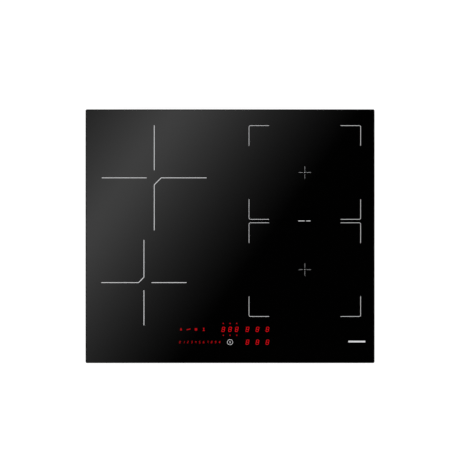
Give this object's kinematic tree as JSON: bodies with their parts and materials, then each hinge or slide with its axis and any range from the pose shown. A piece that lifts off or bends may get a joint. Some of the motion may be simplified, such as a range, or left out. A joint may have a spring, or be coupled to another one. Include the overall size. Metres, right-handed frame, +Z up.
{
  "type": "induction hob",
  "caption": "Built-in induction hob: black glass plate over a sprung coil deck, fans and power boards in a stepped steel pan, with a terminal cover and swivelling worktop clamps.",
  "frame": {"origin": "under the middle of the glass plate, on the plane that the base pan rests on", "axes": "+Z up through the glass, +X along the glass's longer side to the right of the person cooking, +Y away from that person"},
  "size_m": [0.59, 0.518, 0.06],
  "materials": {
    "black_glass_ceramic": "polished",
    "grey_silicone": "matte",
    "galvanised_steel": "satin",
    "grey_foam": "matte",
    "aluminium_sheet": "satin",
    "heat_resistant_plastic": "matte",
    "enamelled_litz_wire": "satin",
    "mica_sheet": "matte",
    "white_ceramic": "satin",
    "spring_steel": "satin",
    "circuit_board": "satin",
    "extruded_aluminium": "satin",
    "capacitor_sleeve": "gloss",
    "wound_ferrite": "satin",
    "black_plastic": "matte",
    "grey_plastic": "matte",
    "red_display_resin": "gloss",
    "zinc_plated_steel": "satin"
  },
  "bodies": {
    "hob_body": {"glass_top": "black_glass_ceramic", "glass_adhesive": "grey_silicone", "glass_frame": "galvanised_steel", "worktop_seal": "grey_foam", "base_pan": "galvanised_steel", "deck_spring_front_left": "spring_steel", "deck_spring_front_right": "spring_steel", "deck_spring_rear_left": "spring_steel", "deck_spring_rear_right": "spring_steel", "fan_housing_left": "black_plastic", "fan_housing_right": "black_plastic", "power_board_left": "circuit_board", "power_board_right": "circuit_board", "heatsink_left": "extruded_aluminium", "heatsink_right": "extruded_aluminium", "dc_capacitor_left": "capacitor_sleeve", "dc_capacitor_right": "capacitor_sleeve", "filter_board": "circuit_board", "filter_choke": "wound_ferrite", "light_box": "black_plastic", "touch_board": "circuit_board", "touch_board_holder": "grey_plastic", "timer_display": "red_display_resin", "zone_display_rear_1": "red_display_resin", "zone_display_rear_2": "red_display_resin", "zone_display_rear_3": "red_display_resin", "zone_display_front_1": "red_display_resin", "zone_display_front_2": "red_display_resin", "zone_display_front_3": "red_display_resin", "terminal_base": "black_plastic", "terminal_block": "grey_plastic", "terminal_hinge_pin": "zinc_plated_steel", "clamp_screw_front_left": "zinc_plated_steel", "clamp_screw_front_right": "zinc_plated_steel", "clamp_screw_rear_left": "zinc_plated_steel", "clamp_screw_rear_right": "zinc_plated_steel"},
    "coil_deck": {"coil_tray": "aluminium_sheet", "coil_former_rear_left": "heat_resistant_plastic", "coil_winding_rear_left": "enamelled_litz_wire", "coil_insulation_rear_left": "mica_sheet", "coil_sensor_rear_left": "white_ceramic", "coil_former_front_left": "heat_resistant_plastic", "coil_winding_front_left": "enamelled_litz_wire", "coil_insulation_front_left": "mica_sheet", "coil_sensor_front_left": "white_ceramic", "coil_former_rear_right": "heat_resistant_plastic", "coil_winding_rear_right": "enamelled_litz_wire", "coil_insulation_rear_right": "mica_sheet", "coil_sensor_rear_right": "white_ceramic", "coil_former_front_right": "heat_resistant_plastic", "coil_winding_front_right": "enamelled_litz_wire", "coil_insulation_front_right": "mica_sheet", "coil_sensor_front_right": "white_ceramic"},
    "fan_rotor_left": {"fan_rotor_left": "black_plastic"},
    "fan_rotor_right": {"fan_rotor_right": "black_plastic"},
    "terminal_cover": {"terminal_cover": "black_plastic"},
    "worktop_clamp_front_left": {"worktop_clamp_front_left": "zinc_plated_steel"},
    "worktop_clamp_front_right": {"worktop_clamp_front_right": "zinc_plated_steel"},
    "worktop_clamp_rear_left": {"worktop_clamp_rear_left": "zinc_plated_steel"},
    "worktop_clamp_rear_right": {"worktop_clamp_rear_right": "zinc_plated_steel"}
  },
  "joints": [
    {"name": "deck_slide", "type": "slide", "parent": "hob_body", "child": "coil_deck", "axis": [0, 0, 1], "range_m": [-0.003, 0], "stiffness_N_per_m": 10000, "springref_m": 0.006, "deforming": ["deck_spring_front_left", "deck_spring_front_right", "deck_spring_rear_left", "deck_spring_rear_right"]},
    {"name": "fan_left_spin", "type": "hinge", "parent": "hob_body", "child": "fan_rotor_left", "pos_m": [-0.1889, 0.1309, 0.01485], "axis": [0, 0, 1], "continuous": true},
    {"name": "fan_right_spin", "type": "hinge", "parent": "hob_body", "child": "fan_rotor_right", "pos_m": [0.1889, 0.1309, 0.01485], "axis": [0, 0, 1], "continuous": true},
    {"name": "terminal_cover_hinge", "type": "hinge", "parent": "hob_body", "child": "terminal_cover", "pos_m": [0, 0.2337, 0.0219], "axis": [1, 0, 0], "range_deg": [0, 100]},
    {"name": "clamp_front_left_swivel", "type": "hinge", "parent": "hob_body", "child": "worktop_clamp_front_left", "pos_m": [-0.2602, -0.15, 0.0267], "axis": [0, 0, 1], "range_deg": [0, 90]},
    {"name": "clamp_front_right_swivel", "type": "hinge", "parent": "hob_body", "child": "worktop_clamp_front_right", "pos_m": [0.2602, -0.15, 0.0267], "axis": [0, 0, -1], "range_deg": [0, 90]},
    {"name": "clamp_rear_left_swivel", "type": "hinge", "parent": "hob_body", "child": "worktop_clamp_rear_left", "pos_m": [-0.2602, 0.15, 0.0267], "axis": [0, 0, -1], "range_deg": [0, 90]},
    {"name": "clamp_rear_right_swivel", "type": "hinge", "parent": "hob_body", "child": "worktop_clamp_rear_right", "pos_m": [0.2602, 0.15, 0.0267], "axis": [0, 0, 1], "range_deg": [0, 90]}
  ]
}
